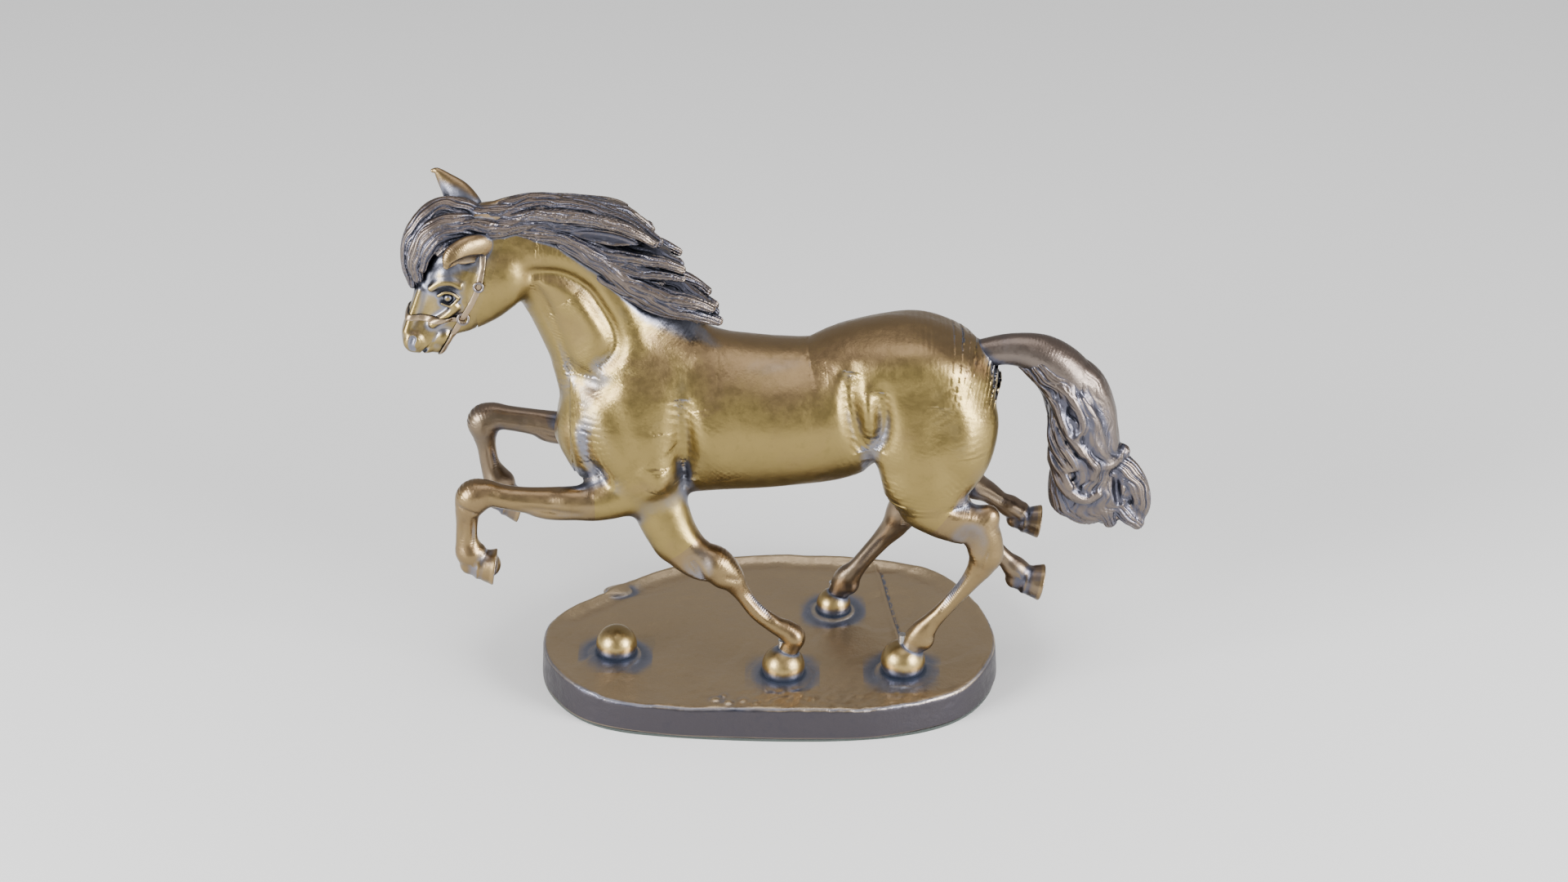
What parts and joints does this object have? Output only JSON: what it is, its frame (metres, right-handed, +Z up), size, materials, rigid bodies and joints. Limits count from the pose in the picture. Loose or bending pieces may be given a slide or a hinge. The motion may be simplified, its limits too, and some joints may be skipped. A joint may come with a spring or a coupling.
{
  "type": "bronze horse statue",
  "caption": "Bronze galloping horse statue with a streaming mane and tail and a thin halter, on round foot domes over a low irregular oval plinth with a felt underside.",
  "frame": {"origin": "centre of the plinth's underside, on the surface that the statue stands on", "axes": "+Z up, +X towards the tail (the horse gallops towards -X), -Y is the horse's near side"},
  "size_m": [0.4509, 0.1852, 0.3449],
  "materials": {
    "body_bronze": "satin golden-brown patinated bronze, brighter on the high forms and dark in the folds",
    "hair_bronze": "dark patinated bronze with rubbed golden ridges",
    "base_bronze": "brown patinated bronze ground with blue-grey sides",
    "halter_bronze": "dark patinated bronze",
    "steel": "plain zinc-plated steel fixings",
    "felt": "dark felt"
  },
  "bodies": {
    "root": {"base_felt": "felt", "base_casting": "base_bronze", "dome_foreleg": "base_bronze", "dome_hind_near": "base_bronze", "dome_hind_far": "base_bronze", "dome_spare": "base_bronze", "mounting_studs": "steel", "stud_washers": "steel", "stud_nuts": "steel", "joint_dowels": "steel", "torso_casting": "body_bronze", "neck_casting": "body_bronze", "head_casting": "body_bronze", "ear_far": "body_bronze", "ear_near": "body_bronze", "foreleg_near_raised": "body_bronze", "foreleg_far_raised": "body_bronze", "foreleg_planted": "body_bronze", "hindleg_near_planted": "body_bronze", "hindleg_far_planted": "body_bronze", "hindleg_near_raised": "body_bronze", "hindleg_far_raised": "body_bronze", "tail_dock": "hair_bronze", "tail_switch": "hair_bronze", "mane_crest": "hair_bronze", "mane_middle": "hair_bronze", "mane_lower": "hair_bronze", "forelock": "hair_bronze", "halter_noseband": "halter_bronze", "halter_cheek_strap": "halter_bronze", "halter_rings": "halter_bronze"}
  },
  "joints": []
}
